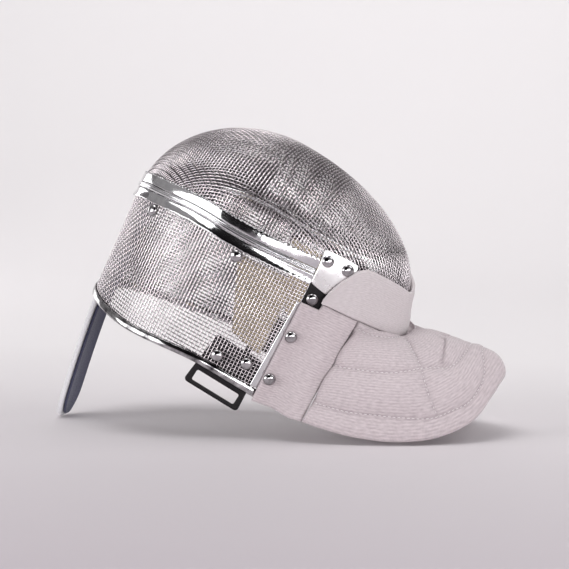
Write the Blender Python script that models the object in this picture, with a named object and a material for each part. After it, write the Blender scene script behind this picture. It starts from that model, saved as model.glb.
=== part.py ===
import bpy
import bmesh
import math
from mathutils import Vector

# Sizes of the mask, in metres and degrees
TILT = 27.2
DOME_HALF_WIDTH = 0.096
DOME_TO_CROWN = 0.1106
DOME_TO_CHIN = 0.150
DOME_TOP = 0.0742
PLAN_CENTRE = 0.125
RIM_FLARE = 0.0015
RIM_TUCK = 0.0049
BAND_DROP = 0.0245
CROWN_DEPTH = 0.1222
MESH_WALL = 0.002
STEEL = 0.001
GAP = 0.0004
BEAD_HEIGHT = 0.005
BEAD_DEPTH = 0.0046
FLANGE_WIDTH = 0.0085
CHANNEL_HEIGHT = 0.0068
CHANNEL_WALL = 0.0011
RIVET_RADIUS = 0.0055
RIVET_HEIGHT = 0.0040
BIB_CLOTH = 0.0034
COLLAR_DROP = 0.0225
COLLAR_RISE = 0.0198
COLLAR_FLARE = 0.0085
BIB_SWELL = 0.016
PLATE_DEPTH = 0.0012
PLATE_RISE = 0.020
TAB_DROP = 0.0055
TAB_LENGTH = 0.025
TONGUE_WIDTH = 0.046
TONGUE_LAYER = 0.0026
TONGUE_LENGTH = 0.1245
TONGUE_BEND = 0.0105
LOOP_LENGTH = 0.054
LOOP_PLATE = 0.0026
LOOP_BAR = 0.0045
LOOP_DROP = 0.0225
LOOP_RISE = 0.030
SLOT_LENGTH = 0.041
SLOT_HEIGHT = 0.0075
PAD_DEPTH = 0.006

# Front end of the crown mesh and of the bead, as angles from the chin
FRONT_ANGLE = 52.5
BEAD_END = 57.5
CREASE_ANGLE = 35.0

# Height of the band line: angle from the chin, share of BAND_DROP below the outline plane
BAND_TABLE = (
    (0.0, 0.40),
    (52.0, 0.13),
    (80.0, 0.18),
    (108.0, 0.15),
    (138.0, 0.47),
    (180.0, 1.00),
)

# Depth of the rim: share of the way from crown to chin, share of CROWN_DEPTH
RIM_TABLE = (
    (0.18, 1.060),
    (0.52, 1.000),
    (0.87, 1.062),
)

# Free edge of the bib: angle at the neck, then shares of the chin reach forward,
# of the half width and of the crown depth
HEM_TABLE = (
    (58.0, 0.513, 0.910, 1.056),
    (46.0, 0.740, 0.965, 1.035),
    (35.0, 0.880, 0.965, 1.003),
    (29.0, 1.000, 0.968, 0.973),
    (23.0, 1.210, 0.945, 0.905),
    (17.5, 1.427, 0.880, 0.795),
    (12.5, 1.600, 0.745, 0.635),
    (8.0, 1.705, 0.540, 0.445),
    (4.0, 1.742, 0.285, 0.255),
    (0.0, 1.745, 0.000, 0.190),
)

# Lift along the middle of the bib: share from collar to hem, share of BIB_SWELL
RIDGE_TABLE = (
    (0.00, 0.00),
    (0.24, 0.53),
    (0.51, 0.76),
    (0.78, 0.93),
    (0.89, 0.68),
    (0.95, 0.24),
    (1.00, -0.34),
)


def hermite(table, x, column=1):
    """Smooth value of one column of a table at x, flat at both ends."""
    rows = sorted(table)
    xs = [row[0] for row in rows]
    ys = [row[column] for row in rows]
    if x <= xs[0]:
        return ys[0]
    if x >= xs[-1]:
        return ys[-1]
    slopes = [0.0] * len(xs)
    for i in range(1, len(xs) - 1):
        left = (ys[i] - ys[i - 1]) / (xs[i] - xs[i - 1])
        right = (ys[i + 1] - ys[i]) / (xs[i + 1] - xs[i])
        wide = xs[i + 1] - xs[i - 1]
        slopes[i] = (right * (xs[i] - xs[i - 1]) + left * (xs[i + 1] - xs[i])) / wide
    i = max(k for k in range(len(xs) - 1) if xs[k] <= x)
    step = xs[i + 1] - xs[i]
    t = (x - xs[i]) / step
    value = (2 * t**3 - 3 * t**2 + 1) * ys[i] + (t**3 - 2 * t**2 + t) * step * slopes[i]
    return value + (3 * t**2 - 2 * t**3) * ys[i + 1] + (t**3 - t**2) * step * slopes[i + 1]


def smooth(t):
    """Ease from 0 to 1."""
    t = min(1.0, max(0.0, t))
    return t * t * (3 - 2 * t)


def span(start, end, count):
    """Even steps from start to end."""
    return [start + (end - start) * i / count for i in range(count + 1)]


def band_height(angle):
    """Height of the band line over the outline plane."""
    return -BAND_DROP * hermite(BAND_TABLE, abs((angle + 180) % 360 - 180))


def plan_point(angle, share):
    """Outline of the mask; share runs from 0 at the band to 1 at the rim."""
    cosine = math.cos(math.radians(angle))
    back = DOME_TO_CROWN - RIM_TUCK * share
    reach = DOME_TO_CHIN if cosine > 0 else back
    half = DOME_HALF_WIDTH + RIM_FLARE * share
    return PLAN_CENTRE + reach * cosine, half * math.sin(math.radians(angle))


def rim_height(forward):
    """Height of the rim line at a place between crown and chin."""
    start = PLAN_CENTRE - DOME_TO_CROWN
    share = (forward - start) / (DOME_TO_CROWN + DOME_TO_CHIN)
    return -CROWN_DEPTH * hermite(RIM_TABLE, share)


def base_point(angle, height):
    """Middle of the mesh, height over the band line: dome above, wall below."""
    band = band_height(angle)
    if height >= 0:
        sine = min(1.0, height / (DOME_TOP - band))
        shrink = math.sqrt(max(0.0, 1 - sine * sine))
        p, y = plan_point(angle, 0.0)
        return Vector((PLAN_CENTRE + (p - PLAN_CENTRE) * shrink, y * shrink, band + height))
    rim = rim_height(plan_point(angle, 1.0)[0])
    share = height / (rim - band)
    p, y = plan_point(angle, share)
    return Vector((p, y, band + height))


def base_normal(angle, height):
    """Outward direction of the mesh."""
    if height > (DOME_TOP - band_height(angle)) * 0.9995:
        return Vector((0, 0, 1))
    step = 0.0008
    low = min(height, DOME_TOP - band_height(angle) - 2 * step)
    along = base_point(angle + 0.4, height) - base_point(angle - 0.4, height)
    up = base_point(angle, low + step) - base_point(angle, low - step)
    return along.cross(up).normalized()


def on_mesh(angle, height, offset=0.0):
    """Place on the mesh, moved outward by offset."""
    return base_point(angle, height) + base_normal(angle, height) * offset


def place(point):
    """Turn the mask's own axes into the lying pose."""
    tilt = math.radians(TILT)
    p, y, q = point
    x = p * math.cos(tilt) + q * math.sin(tilt)
    z = -p * math.sin(tilt) + q * math.cos(tilt)
    return Vector((x, y, z))


def material(name, colour, metallic, roughness):
    """Plain surface for one kind of piece."""
    made = bpy.data.materials.new(name)
    made.use_nodes = True
    shader = made.node_tree.nodes["Principled BSDF"]
    shader.inputs["Base Color"].default_value = (*colour, 1.0)
    shader.inputs["Metallic"].default_value = metallic
    shader.inputs["Roughness"].default_value = roughness
    made.diffuse_color = (*colour, 1.0)
    return made


def add_solid(name, points, faces, surface):
    """Closed solid with outward faces."""
    mesh = bpy.data.meshes.new(name)
    mesh.from_pydata([place(point) for point in points], [], faces)
    tidy = bmesh.new()
    tidy.from_mesh(mesh)
    bmesh.ops.recalc_face_normals(tidy, faces=tidy.faces)
    bmesh.ops.triangulate(tidy, faces=tidy.faces)
    tidy.to_mesh(mesh)
    tidy.free()
    mesh.materials.append(surface)
    solid = bpy.data.objects.new(name, mesh)
    bpy.context.collection.objects.link(solid)
    return solid


def slab(name, outer, inner, surface, closed=False):
    """Solid between two grids of points; closed joins the last column to the first."""
    rows = len(outer)
    columns = len(outer[0])
    points = [p for row in outer for p in row] + [p for row in inner for p in row]
    half = rows * columns
    faces = []
    last = columns if closed else columns - 1
    for i in range(rows - 1):
        for j in range(last):
            k = (j + 1) % columns
            a, b = i * columns + j, i * columns + k
            c, d = (i + 1) * columns + k, (i + 1) * columns + j
            faces.append((a, b, c, d))
            faces.append((half + d, half + c, half + b, half + a))
    for j in range(last):
        k = (j + 1) % columns
        end = (rows - 1) * columns
        faces.append((half + j, half + k, k, j))
        faces.append((end + j, end + k, half + end + k, half + end + j))
    if not closed:
        for i in range(rows - 1):
            for edge in (0, columns - 1):
                a = i * columns + edge
                d = (i + 1) * columns + edge
                faces.append((a, d, half + d, half + a))
    return add_solid(name, points, faces, surface)


def mesh_slab(name, angles, heights, inside, outside, surface):
    """Slab that follows the mesh between two offsets."""
    outer = [[on_mesh(a, h, outside) for a in angles] for h in heights]
    inner = [[on_mesh(a, h, inside) for a in angles] for h in heights]
    return slab(name, outer, inner, surface)


def tube(name, rings, surface, closed=False):
    """Solid swept through rings of points."""
    size = len(rings[0])
    points = [point for ring in rings for point in ring]
    faces = []
    last = len(rings) if closed else len(rings) - 1
    for i in range(last):
        n = (i + 1) % len(rings)
        for j in range(size):
            k = (j + 1) % size
            faces.append((i * size + j, i * size + k, n * size + k, n * size + j))
    if not closed:
        faces.append(tuple(range(size)))
        faces.append(tuple(range((len(rings) - 1) * size, len(rings) * size)))
    return add_solid(name, points, faces, surface)


def both_sides(front, back, steps):
    """Angles from one side round the crown to the other."""
    return span(front, back, steps) + span(back, 360 - front, steps)[1:]


STEEL_BRIGHT = material("polished_steel", (0.80, 0.80, 0.82), 1.0, 0.15)
STEEL_WIRE = material("wire_mesh_steel", (0.50, 0.50, 0.53), 1.0, 0.35)
BLACK_METAL = material("black_enamel", (0.02, 0.018, 0.02), 0.2, 0.45)
BIB_FABRIC = material("bib_cloth", (0.62, 0.57, 0.60), 0.0, 0.85)
COLLAR_FABRIC = material("collar_cloth", (0.58, 0.56, 0.57), 0.0, 0.85)
NAVY_FABRIC = material("navy_cloth", (0.05, 0.055, 0.13), 0.0, 0.85)
GREY_FABRIC = material("light_grey_cover", (0.65, 0.64, 0.66), 0.0, 0.7)
BEIGE_PAD = material("beige_pad", (0.50, 0.42, 0.30), 0.0, 0.9)
DARK_PAD = material("dark_pad", (0.06, 0.055, 0.06), 0.0, 0.9)


def build_meshes():
    """Face dome and crown wall."""
    chin = span(-FRONT_ANGLE, FRONT_ANGLE, 16)
    crown = both_sides(FRONT_ANGLE, 180, 17)[1:-1]
    angles = chin + crown
    start = BEAD_HEIGHT / 2 + GAP
    levels = [start, start + FLANGE_WIDTH]
    outer = []
    inner = []
    for level in levels + [None] * 7:
        if level is None:
            share = (len(outer) - 1) / 8
            turn = math.radians(8 + 82 * share - 2)
            heights = [(DOME_TOP - band_height(a)) * math.sin(turn) for a in angles]
        else:
            heights = [level] * len(angles)
        outer.append([on_mesh(a, h, MESH_WALL / 2) for a, h in zip(angles, heights)])
        inner.append([on_mesh(a, h, -MESH_WALL / 2) for a, h in zip(angles, heights)])
    columns = len(angles)
    rows = len(outer)
    points = [p for row in outer for p in row] + [p for row in inner for p in row]
    half = rows * columns
    top = Vector((PLAN_CENTRE, 0, DOME_TOP + MESH_WALL / 2))
    under = Vector((PLAN_CENTRE, 0, DOME_TOP - MESH_WALL / 2))
    points += [top, under]
    faces = []
    for j in range(columns):
        k = (j + 1) % columns
        for i in range(rows - 1):
            a, b = i * columns + j, i * columns + k
            c, d = (i + 1) * columns + k, (i + 1) * columns + j
            faces.append((a, b, c, d))
            faces.append((half + d, half + c, half + b, half + a))
        end = (rows - 1) * columns
        faces.append((half + j, half + k, k, j))
        faces.append((end + j, end + k, 2 * half))
        faces.append((half + end + k, half + end + j, 2 * half + 1))
    add_solid("face_mesh", points, faces, STEEL_WIRE)

    angles = both_sides(FRONT_ANGLE, 180, 17)
    rows = span(0.0, 1.0, 5)
    outer = []
    inner = []
    for share in rows:
        line_out = []
        line_in = []
        for angle in angles:
            top_height = -start
            low = rim_height(plan_point(angle, 1.0)[0]) - band_height(angle)
            low += CHANNEL_WALL + GAP
            height = top_height + (low - top_height) * share
            line_out.append(on_mesh(angle, height, MESH_WALL / 2))
            line_in.append(on_mesh(angle, height, -MESH_WALL / 2))
        outer.append(line_out)
        inner.append(line_in)
    slab("crown_mesh", outer, inner, STEEL_WIRE)


def build_bead():
    """Rolled bead and the flat strips either side of it."""
    angles = both_sides(BEAD_END, 180, 17)
    rings = []
    for angle in angles:
        ring = []
        for i in range(8):
            turn = math.radians(22.5 + 45 * i)
            height = BEAD_HEIGHT / 2 * math.sin(turn)
            offset = BEAD_DEPTH / 2 * (0.55 + math.cos(turn))
            ring.append(on_mesh(angle, height, offset))
        rings.append(ring)
    tube("seam_ridge", rings, STEEL_BRIGHT)
    start = BEAD_HEIGHT / 2 + GAP
    outside = MESH_WALL / 2 + GAP
    levels = [start, start + FLANGE_WIDTH]
    mesh_slab("face_flange", angles, levels, outside, outside + STEEL, STEEL_BRIGHT)
    levels = [-level for level in levels]
    mesh_slab("crown_flange", angles, levels, outside, outside + STEEL, STEEL_BRIGHT)


def build_rim():
    """Folded channel that takes the lower edge of the crown mesh."""
    angles = both_sides(FRONT_ANGLE, 180, 17)
    slot = MESH_WALL / 2 + GAP
    side = slot + CHANNEL_WALL
    profile = (
        (side, CHANNEL_HEIGHT),
        (side, 0.0),
        (-side, 0.0),
        (-side, CHANNEL_HEIGHT),
        (-slot, CHANNEL_HEIGHT),
        (-slot, CHANNEL_WALL),
        (slot, CHANNEL_WALL),
        (slot, CHANNEL_HEIGHT),
    )
    rings = []
    for angle in angles:
        low = rim_height(plan_point(angle, 1.0)[0]) - band_height(angle)
        rings.append([on_mesh(angle, low + up, off) for off, up in profile])
    size = len(profile)
    points = [point for ring in rings for point in ring]
    faces = []
    for i in range(len(rings) - 1):
        for j in range(size):
            k = (j + 1) % size
            faces.append((i * size + j, i * size + k, (i + 1) * size + k, (i + 1) * size + j))
    for base in (0, (len(rings) - 1) * size):
        for quad in ((0, 1, 6, 7), (1, 2, 5, 6), (2, 3, 4, 5)):
            faces.append(tuple(base + i for i in quad))
    add_solid("rim_channel", points, faces, STEEL_BRIGHT)


def build_sides():
    """Plates, tabs and edge strips, left and right."""
    under = MESH_WALL / 2 + GAP
    tab_depth = PLATE_DEPTH
    plate_in = under + STEEL + GAP + (tab_depth - STEEL)
    for sign, side in ((1, "left"), (-1, "right")):
        angles = [sign * a for a in (57.4, 54.0, 50.6, 46.5, 42.4)]
        lows = [PLATE_RISE * s for s in (-0.50, -0.625, -0.725, -0.10, 0.625)]
        highs = [PLATE_RISE * s for s in (1.0, 1.0, 0.99, 0.965, 0.925)]
        outer = []
        inner = []
        for share in span(0, 1, 3):
            spot = [(a, lo + (hi - lo) * share) for a, lo, hi in zip(angles, lows, highs)]
            outer.append([on_mesh(a, h, plate_in + PLATE_DEPTH) for a, h in spot])
            inner.append([on_mesh(a, h, plate_in) for a, h in spot])
        slab("side_plate_" + side, outer, inner, STEEL_BRIGHT)

        angles = [sign * a for a in (57.2, 54.6, 52.0, 49.8)]
        mesh_slab(
            "side_tab_" + side, angles, [-TAB_DROP - TAB_LENGTH * s for s in (0, 0.5, 1)],
            under, under + tab_depth, BLACK_METAL)

        outer = []
        inner = []
        start = -TAB_DROP - TAB_LENGTH - GAP
        ends = [rim_height(plan_point(a, 1.0)[0]) - band_height(a) for a in (FRONT_ANGLE, 60)]
        end = max(ends) + CHANNEL_HEIGHT + 4 * GAP
        for share in span(0, 1, 5):
            height = start + (end - start) * share
            wide = (58.6 + 1.6 * share, 56.0 + 1.6 * share, 53.2)
            line = [sign * a for a in wide]
            outer.append([on_mesh(a, height, under + STEEL) for a in line])
            inner.append([on_mesh(a, height, under) for a in line])
        slab("edge_strip_" + side, outer, inner, STEEL_BRIGHT)


def bib_offset(angle):
    """Clearance of the bib's inner face: over the side plates, close at the chin."""
    close = MESH_WALL / 2 + GAP
    over = close + PLATE_DEPTH + GAP + PLATE_DEPTH + GAP
    return close + (over - close) * smooth((abs(angle) - 30) / 8)


def neck_point(angle):
    """Upper end of the lower bib, where the collar ends."""
    flare = COLLAR_FLARE * math.cos(math.radians(min(90, abs(angle) * 1.5)))
    return on_mesh(angle, -COLLAR_DROP, bib_offset(angle) + flare)


def hem_point(angle):
    """Free edge of the bib."""
    mirrored = tuple((-a, p, -y, q) for a, p, y, q in HEM_TABLE[:-1])
    table = HEM_TABLE + mirrored
    p = PLAN_CENTRE + DOME_TO_CHIN * hermite(table, angle, 1)
    y = DOME_HALF_WIDTH * hermite(table, angle, 2)
    q = -CROWN_DEPTH * hermite(table, angle, 3)
    return Vector((p, y, q))


def bib_point(angle, share):
    """Inner face of the lower bib; share runs from the collar to the hem."""
    top = neck_point(angle)
    low = hem_point(angle)
    point = top.lerp(low, share)
    size = abs(angle)
    swell = 4 * share * (1 - share)
    if size >= CREASE_ANGLE:
        # Side panel: follows the mesh at its rear and rounds out towards the crease
        height = -COLLAR_DROP + (low.z - band_height(angle) + COLLAR_DROP) * share
        wall = on_mesh(angle, height, bib_offset(angle))
        rear = smooth((size - 40) / 14)
        mid = math.sin(math.pi * (size - CREASE_ANGLE) / (58 - CREASE_ANGLE))
        puffed = point + Vector((0.2, math.copysign(1.0, angle), 0.0)) * BIB_SWELL / 4 * mid * swell
        return puffed.lerp(wall, rear)
    # Flap: a vault, high along the middle and rounded down to the floor at the sides
    ridge = 1 - smooth(size / 16)
    flank = math.sin(math.pi * min(1.0, size / CREASE_ANGLE))
    crest = BIB_SWELL * ridge * hermite(RIDGE_TABLE, share)
    aside = math.copysign(BIB_SWELL * 0.87 * flank, angle)
    bulge = Vector((BIB_SWELL / 4 * flank, aside, BIB_SWELL * flank)) * swell
    return point + bulge + Vector((0, 0, crest))


def bib_normal(angle, share):
    """Outward direction of the lower bib, the same on both sides of the crease."""
    centre = angle
    step = 0.5
    if abs(abs(angle) - CREASE_ANGLE) < 1:
        centre = math.copysign(CREASE_ANGLE, angle)
        step = 3.0
    near = centre - step if abs(centre - step) < 58 else centre
    far = centre + step if abs(centre + step) < 58 else centre
    along = bib_point(far, share) - bib_point(near, share)
    down = bib_point(angle, min(1.0, share + 0.02)) - bib_point(angle, max(0.0, share - 0.02))
    neck = base_normal(angle, -COLLAR_DROP)
    normal = down.cross(along).normalized()
    return neck.lerp(normal, smooth(share / 0.12)).normalized()


def tab_clearance(angle):
    """Share of the bib's length that the black tab takes up below the collar."""
    length = band_height(angle) - COLLAR_DROP - hem_point(angle).z
    return (TAB_DROP + TAB_LENGTH + 2 * GAP - COLLAR_DROP) / length


def bib_slab(name, angles, shares, surface):
    """Cloth of one thickness over the lower bib's inner face, clear of the black tabs."""
    inner = []
    outer = []
    for share in shares:
        cut = [tab_clearance(a) * smooth((abs(a) - 47) / 3.5) for a in angles]
        line = [(a, c + (1 - c) * share) for a, c in zip(angles, cut)]
        inner.append([bib_point(a, s) for a, s in line])
        outer.append([bib_point(a, s) + bib_normal(a, s) * BIB_CLOTH for a, s in line])
    return slab(name, outer, inner, surface)


def build_bib():
    """Collar, side panels and throat flap."""
    angles = [-50.4, -46, -42, -38.5, -35, -30, -25, -20, -15, -10, -5, 0]
    angles = angles + [-a for a in reversed(angles[:-1])]
    shares = (-1.09, 0.20, 0.68, 0.91, 0.985, 1.0, 0.99, 0.96, 0.92, 0.87, 0.82, 0.80)
    uppers = [COLLAR_RISE * s for s in shares + tuple(reversed(shares[:-1]))]
    uppers[0] = uppers[-1] = -COLLAR_DROP + 3 * GAP
    outer = []
    inner = []
    for share in span(0, 1, 5):
        row_out = []
        row_in = []
        for angle, upper in zip(angles, uppers):
            low = -COLLAR_DROP + GAP
            height = low + (upper - low) * share
            flare = COLLAR_FLARE * math.cos(math.radians(min(90, abs(angle) * 1.5)))
            lean = flare * smooth((COLLAR_RISE / 2 - height) / (COLLAR_RISE / 2 + COLLAR_DROP))
            inside = bib_offset(angle) + lean
            row_in.append(on_mesh(angle, height, inside))
            row_out.append(on_mesh(angle, height, inside + BIB_CLOTH))
        outer.append(row_out)
        inner.append(row_in)
    slab("bib_collar", outer, inner, COLLAR_FABRIC)

    shares = span(0, 0.73, 8) + [0.81, 0.88, 0.94, 0.98, 1.0]
    angles = [-34.8, -32, -29, -26, -23, -20, -17, -14, -11, -8, -5.3, -2.6, 0]
    angles = angles + [-a for a in reversed(angles[:-1])]
    bib_slab("bib_flap", angles, shares, BIB_FABRIC)
    for sign, side in ((1, "left"), (-1, "right")):
        angles = [sign * a for a in (57.6, 54.5, 51, 47, 43, 39, 35.2)]
        bib_slab("bib_side_panel_" + side, angles, shares, BIB_FABRIC)


def tongue_point(across, share, offset):
    """Tongue surface: share runs from its hidden upper end to its tip."""
    rim = rim_height(plan_point(180, 1.0)[0]) - band_height(180)
    start = -BEAD_HEIGHT / 2 - FLANGE_WIDTH - GAP
    length = rim - TONGUE_LENGTH - start
    height = start + length * share
    angle = 180 - math.degrees(math.asin(across / DOME_HALF_WIDTH))
    point = on_mesh(angle, height, offset)
    past = max(0.0, (height - rim) / (start + length - rim))
    return point + Vector((TONGUE_BEND * past**1.5, 0, 0))


def build_tongue():
    """Two cover layers of the tongue that holds the back of the head."""
    clear = MESH_WALL / 2 + GAP + CHANNEL_WALL + GAP
    shares = span(0, 0.9, 12) + [0.94, 0.965, 0.985, 0.998]
    layers = (
        ("tongue_back", -clear - TONGUE_LAYER, -clear, 1.0, GREY_FABRIC),
        ("tongue_face", -clear - 2 * TONGUE_LAYER - GAP, -clear - TONGUE_LAYER - GAP, 0.84, NAVY_FABRIC),
    )
    for name, inside, outside, width, surface in layers:
        outer = []
        inner = []
        for share in shares:
            end = max(0.0, (share - 0.88) / 0.12)
            half = TONGUE_WIDTH / 2 * width * math.sqrt(max(0.03, 1 - end * end))
            half *= 1.0 - 0.10 * share
            limit = 1.0 if width == 1.0 else 0.985
            across = span(-half, half, 6)
            outer.append([tongue_point(a, share * limit, outside) for a in across])
            inner.append([tongue_point(a, share * limit, inside) for a in across])
        slab(name, outer, inner, surface)


def build_loops():
    """Strap loops: a flat plate inside the mesh with a slot below the rim."""
    for sign, side in ((1, "left"), (-1, "right")):
        angle = sign * 70.0
        p, y = plan_point(angle, 1.0)
        rim = rim_height(p) - band_height(angle)
        centre = base_point(angle, rim)
        normal = base_normal(angle, rim)
        normal.z = 0
        normal.normalize()
        along = Vector((abs(normal.y), -sign * abs(normal.x), 0)).normalized()
        lean = math.radians(4.0)
        right = along * math.cos(lean) + Vector((0, 0, -1)) * math.sin(lean)
        down = along * -math.sin(lean) + Vector((0, 0, -1)) * math.cos(lean)
        half = LOOP_LENGTH / 2
        bow = 0.0
        for a in span(54, 86, 32):
            away = on_mesh(sign * a, rim) - centre
            if abs(away.dot(along)) <= half:
                bow = max(bow, -away.dot(normal))
        clear = MESH_WALL / 2 + 2 * GAP + CHANNEL_WALL + bow
        foot = LOOP_DROP
        top = -LOOP_RISE
        outline = []
        corner = LOOP_BAR * 0.9
        for cx, cy, start in (
            (half - corner, foot - corner, 0), (-half + corner, foot - corner, 90),
            (-half * 0.86 + corner, top + corner, 180), (half * 0.86 - corner, top + corner, 270)):
            for k in range(3):
                turn = math.radians(start + 45 * k)
                outline.append((cx + corner * math.cos(turn), cy + corner * math.sin(turn)))
        slot = []
        inset = SLOT_HEIGHT * 0.16
        low = foot - LOOP_BAR
        high = low - SLOT_HEIGHT
        for cx, cy, start in (
            (SLOT_LENGTH / 2 - inset, low - inset, 0), (-SLOT_LENGTH / 2 + inset, low - inset, 90),
            (-SLOT_LENGTH / 2 + inset, high + inset, 180), (SLOT_LENGTH / 2 - inset, high + inset, 270)):
            for k in range(3):
                turn = math.radians(start + 45 * k)
                slot.append((cx + inset * math.cos(turn), cy + inset * math.sin(turn)))
        points = []
        for depth in (clear, clear + LOOP_PLATE):
            for u, v in outline + slot:
                points.append(centre - normal * depth + right * u + down * v)
        faces = []
        for i in range(12):
            k = (i + 1) % 12
            faces.append((i, k, 12 + k, 12 + i))
            faces.append((24 + 12 + i, 24 + 12 + k, 24 + k, 24 + i))
            faces.append((i, 24 + i, 24 + k, k))
            faces.append((12 + k, 24 + 12 + k, 24 + 12 + i, 12 + i))
        add_solid("strap_loop_" + side, points, faces, BLACK_METAL)


def pad(name, rows, outside, surface):
    """Soft pad inside the mesh, thinner at its borders; rows hold angles and heights."""
    outer = []
    inner = []
    for i, row in enumerate(rows):
        row_out = []
        row_in = []
        for j, (angle, height) in enumerate(row):
            side = min(i, len(rows) - 1 - i, j, len(row) - 1 - j)
            thick = PAD_DEPTH * (0.4, 0.9, 1.0)[min(2, side)]
            row_out.append(on_mesh(angle, height, -outside))
            row_in.append(on_mesh(angle, height, -outside - thick))
        outer.append(row_out)
        inner.append(row_in)
    slab(name, outer, inner, surface)


def build_pads():
    """Cheek pads and forehead pad."""
    outside = MESH_WALL / 2 + 2 * GAP
    for sign, side in ((1, "left"), (-1, "right")):
        rows = []
        for share in span(0, 1, 7):
            angles = span(84 - 10 * share, 61.5, 6)
            heights = [-CROWN_DEPTH * (0.13 + (0.525 + 0.074 * k / 6) * share) for k in range(7)]
            rows.append([(sign * a, h) for a, h in zip(angles, heights)])
        pad("cheek_pad_" + side, rows, outside, BEIGE_PAD)
    heights = [DOME_TOP * (0.054 + 0.512 * share) for share in span(0, 1, 5)]
    rows = [[(a, h) for a in span(104, 256, 18)] for h in heights]
    pad("forehead_pad", rows, outside, DARK_PAD)


def rivet(name, centre, normal):
    """Domed rivet head lying on the piece below it."""
    along = normal.cross(Vector((0, 0, 1))).normalized()
    up = along.cross(normal)
    shape = ((1.0, 0.0), (1.0, 0.2), (0.76, 0.68), (0.40, 0.93))
    sides = 10
    points = []
    for radius, rise in shape:
        for i in range(sides):
            turn = 2 * math.pi * i / sides
            flat = along * math.cos(turn) + up * math.sin(turn)
            points.append(centre + flat * RIVET_RADIUS * radius + normal * RIVET_HEIGHT * rise)
    points.append(centre + normal * RIVET_HEIGHT)
    faces = [tuple(range(sides))]
    for ring in range(len(shape) - 1):
        for i in range(sides):
            k = (i + 1) % sides
            a = ring * sides
            faces.append((a + i, a + k, a + sides + k, a + sides + i))
    last = (len(shape) - 1) * sides
    for i in range(sides):
        faces.append((last + i, last + (i + 1) % sides, len(points) - 1))
    add_solid(name, points, faces, STEEL_BRIGHT)


def build_rivets():
    """Rivets on the mesh, plates, tabs and side panels."""
    mesh_top = MESH_WALL / 2 + 1.5 * GAP
    tab_top = MESH_WALL / 2 + GAP + PLATE_DEPTH + 1.5 * GAP
    plate_top = tab_top - GAP + PLATE_DEPTH + 0.5 * GAP
    panel_top = BIB_CLOTH + 3 * GAP
    under_flange = -BEAD_HEIGHT / 2 - FLANGE_WIDTH - 2 * GAP - RIVET_RADIUS
    rim = rim_height(plan_point(70, 1.0)[0]) - band_height(70)
    spots = (
        ("crown", 131.7, under_flange, mesh_top),
        ("side", 84.0, under_flange, mesh_top),
        ("plate_rear", 55.0, PLATE_RISE * 0.60, plate_top),
        ("plate_front", 46.6, PLATE_RISE * 0.59, plate_top),
        ("tab", 54.2, -TAB_DROP - TAB_LENGTH * 0.70, tab_top),
        ("loop_rear", 74.8, rim + LOOP_RISE * 0.56, mesh_top),
        ("loop_front", 64.6, rim + LOOP_RISE * 0.70, mesh_top),
    )
    for sign, side in ((1, "left"), (-1, "right")):
        for name, angle, height, under in spots:
            spot = on_mesh(sign * angle, height, under)
            rivet("rivet_" + name + "_" + side, spot, base_normal(sign * angle, height))
        for name, angle, share in (("panel_upper", 55.4, 0.36), ("panel_lower", 55.4, 0.765)):
            normal = bib_normal(sign * angle, share)
            spot = bib_point(sign * angle, share) + normal * panel_top
            rivet("rivet_" + name + "_" + side, spot, normal)


def rest_on_floor():
    """Move everything so that the mask rests on the floor, centred on the origin."""
    solids = [item for item in bpy.data.objects if item.type == "MESH"]
    points = [vertex.co for item in solids for vertex in item.data.vertices]
    middle = (min(p.x for p in points) + max(p.x for p in points)) / 2
    lowest = min(p.z for p in points)
    for item in solids:
        for vertex in item.data.vertices:
            vertex.co.x -= middle
            vertex.co.z -= lowest


for item in list(bpy.data.objects):
    bpy.data.objects.remove(item)
build_meshes()
build_bead()
build_rim()
build_sides()
build_bib()
build_tongue()
build_loops()
build_pads()
build_rivets()
rest_on_floor()
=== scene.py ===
import math
import bpy
import bmesh
import numpy as np
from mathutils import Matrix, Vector


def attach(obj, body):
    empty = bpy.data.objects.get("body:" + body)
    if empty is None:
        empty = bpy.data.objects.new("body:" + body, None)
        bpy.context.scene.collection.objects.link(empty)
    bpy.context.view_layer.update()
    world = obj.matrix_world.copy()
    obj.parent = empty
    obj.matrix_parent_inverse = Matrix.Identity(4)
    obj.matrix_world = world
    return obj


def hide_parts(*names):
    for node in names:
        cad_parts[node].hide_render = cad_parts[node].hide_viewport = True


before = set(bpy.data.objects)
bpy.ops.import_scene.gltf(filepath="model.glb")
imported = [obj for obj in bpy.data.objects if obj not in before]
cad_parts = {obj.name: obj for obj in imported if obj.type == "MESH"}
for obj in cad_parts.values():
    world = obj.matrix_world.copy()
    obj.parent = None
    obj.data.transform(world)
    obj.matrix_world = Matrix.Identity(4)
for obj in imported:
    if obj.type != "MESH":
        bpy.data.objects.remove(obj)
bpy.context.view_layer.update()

# Face: a dome of woven steel wire, pressed to shape from one flat piece of wire cloth.
# The wires run along the mask and across it, square over the ridge and leaning to
# diamonds down the sides, and the cut ends sit behind the strip along the bead.
TILT = math.radians(27.2)
LYING_SHIFT = np.array((-0.126254, 0.0, 0.244077))
PLAN_CENTRE = 0.125
DOME_TO_CROWN = 0.1106
DOME_TO_CHIN = 0.150
DOME_HALF_WIDTH = 0.096
DOME_TOP = 0.0742
RIM_FLARE = 0.0015
RIM_TUCK = 0.0049
BAND_DROP = 0.0245
CROWN_DEPTH = 0.1222
BAND_TABLE = ((0.0, 0.40), (52.0, 0.13), (80.0, 0.18), (108.0, 0.15), (138.0, 0.47), (180.0, 1.00))
RIM_TABLE = ((0.18, 1.060), (0.52, 1.000), (0.87, 1.062))
FRONT_ANGLE = 52.5
BEAD_HEIGHT = 0.005
BEAD_DEPTH = 0.0046
MESH_WALL = 0.002
GAP = 0.0004
WIRE_PITCH = 0.0031
WIRE_RADIUS = 0.0005
WIRE_WAVE = 0.00050
HEAD_LEVEL = -0.03


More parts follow.
